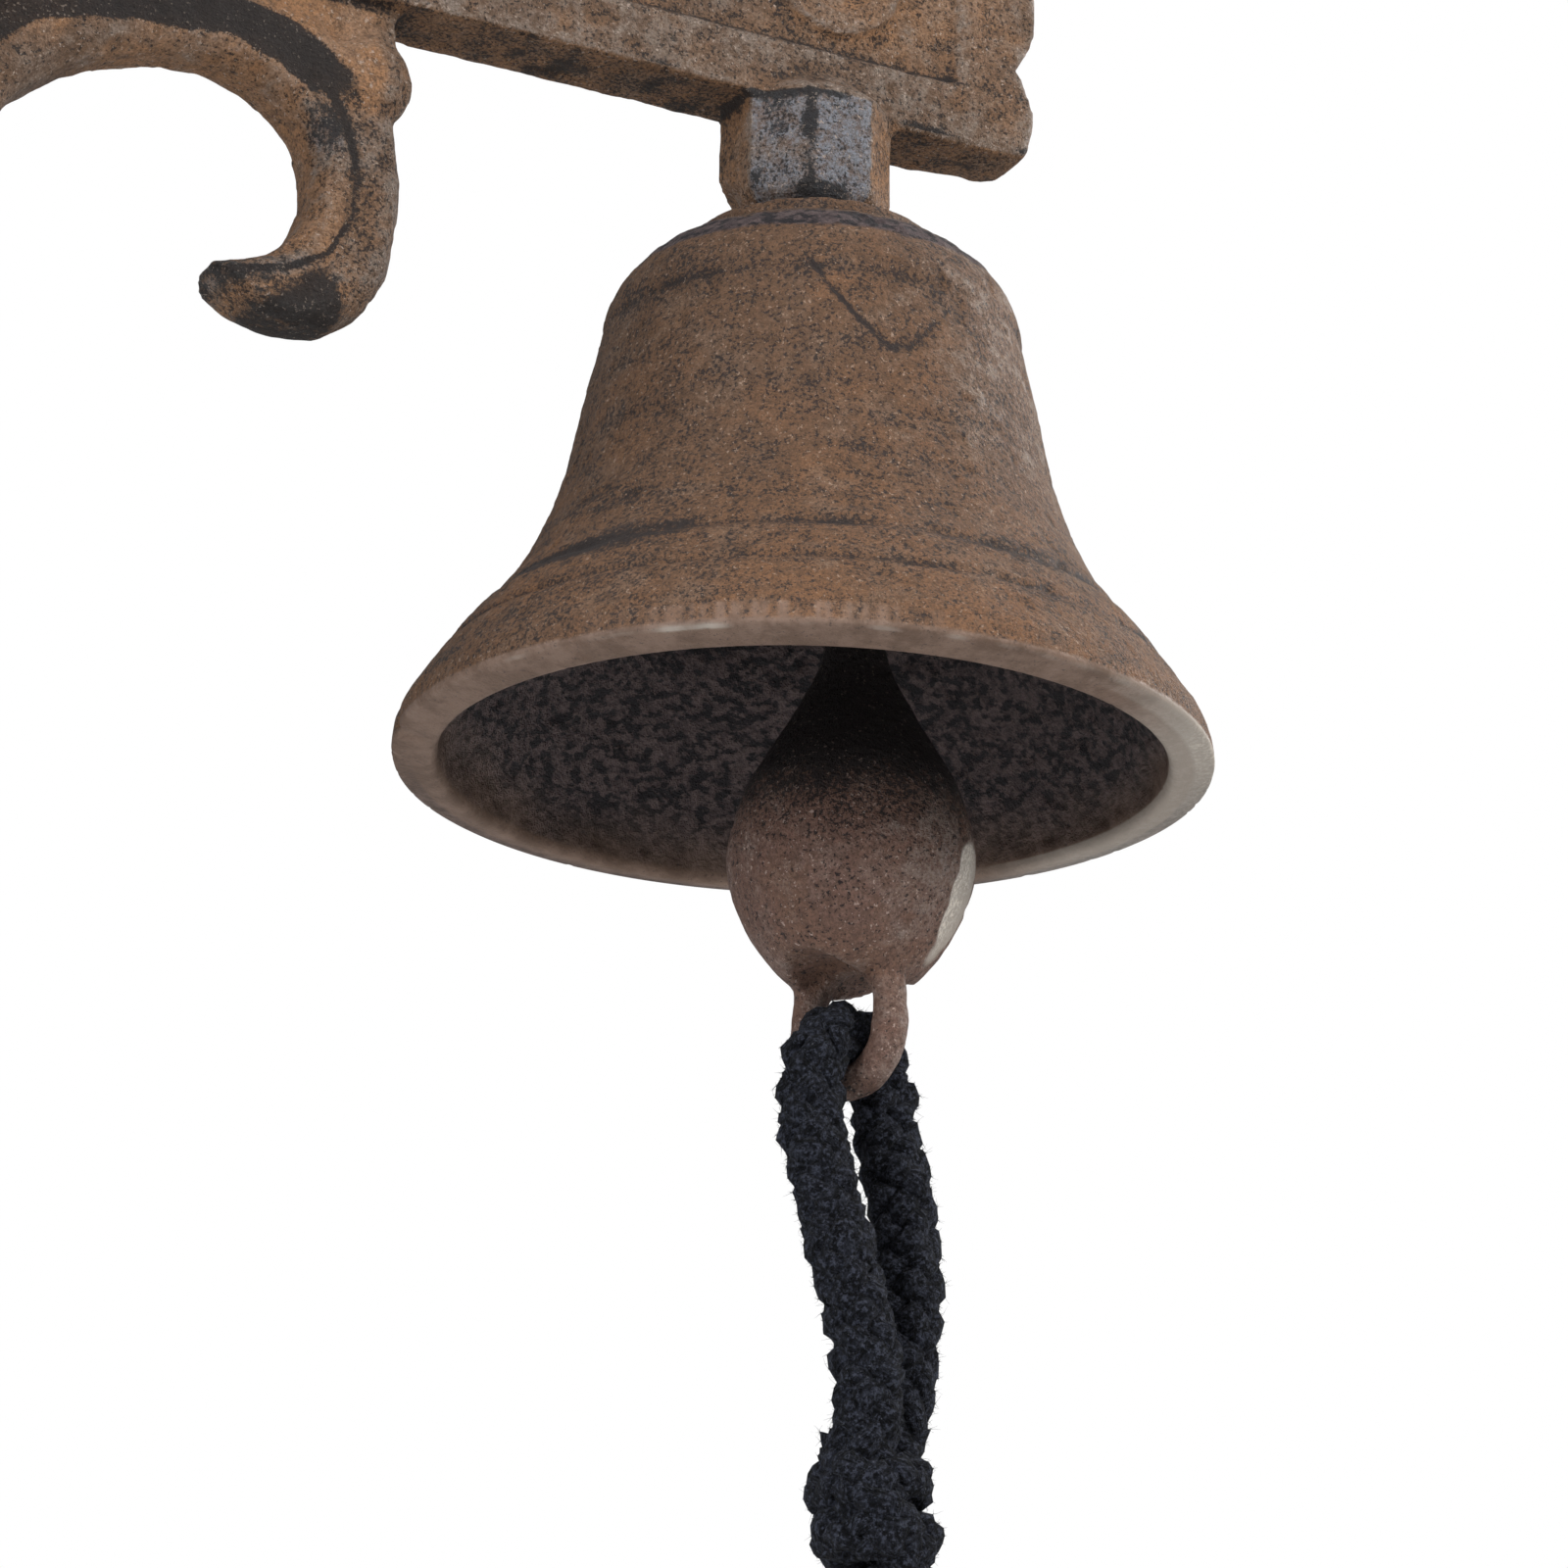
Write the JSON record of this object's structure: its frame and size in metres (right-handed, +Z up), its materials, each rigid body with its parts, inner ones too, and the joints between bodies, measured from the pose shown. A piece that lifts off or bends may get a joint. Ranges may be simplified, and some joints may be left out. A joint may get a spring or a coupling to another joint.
{
  "type": "wall mounted bell",
  "caption": "Cast iron bell clamped under a wall bracket's arm, with a hanging clapper that is swung by a braided cord.",
  "frame": {"origin": "on the wall, at the middle of the wall plate's back face", "axes": "+X away from the wall along the arm, +Y across the arm, +Z up"},
  "size_m": [0.1832, 0.0864, 0.3205],
  "materials": {
    "bracket_iron": "sand cast, brown wax over black iron, rubbed on the edges",
    "bell_iron": "sand cast, brown over grey iron, rim ground flat",
    "clapper_iron": "sand cast, worn",
    "hardware": "darkened steel",
    "cord": "black braided cotton"
  },
  "bodies": {
    "frame": {"bracket": "bracket_iron", "bell": "bell_iron", "spacer_washer": "hardware", "crown_washer": "hardware", "crown_nut": "hardware", "hook_bolt": "hardware"},
    "link": {"clapper_link": "hardware"},
    "striker": {"clapper": "clapper_iron"},
    "cord": {"cord_loop": "cord", "loop_knot": "cord", "cord_tail": "cord", "end_knot": "cord"}
  },
  "joints": [
    {"name": "link_swing", "type": "hinge", "parent": "frame", "child": "link", "pos_m": [0.146, 0, -0.007], "axis": [1, 0, 0], "range_deg": [-19, 19]},
    {"name": "clapper_swing", "type": "hinge", "parent": "link", "child": "striker", "pos_m": [0.146, 0, -0.01385], "axis": [0, 1, 0], "range_deg": [-19, 28]},
    {"name": "cord_swing", "type": "hinge", "parent": "striker", "child": "cord", "pos_m": [0.146, 0, -0.08245], "axis": [-0.342, 0.9397, 0], "range_deg": [-35, 35]}
  ]
}
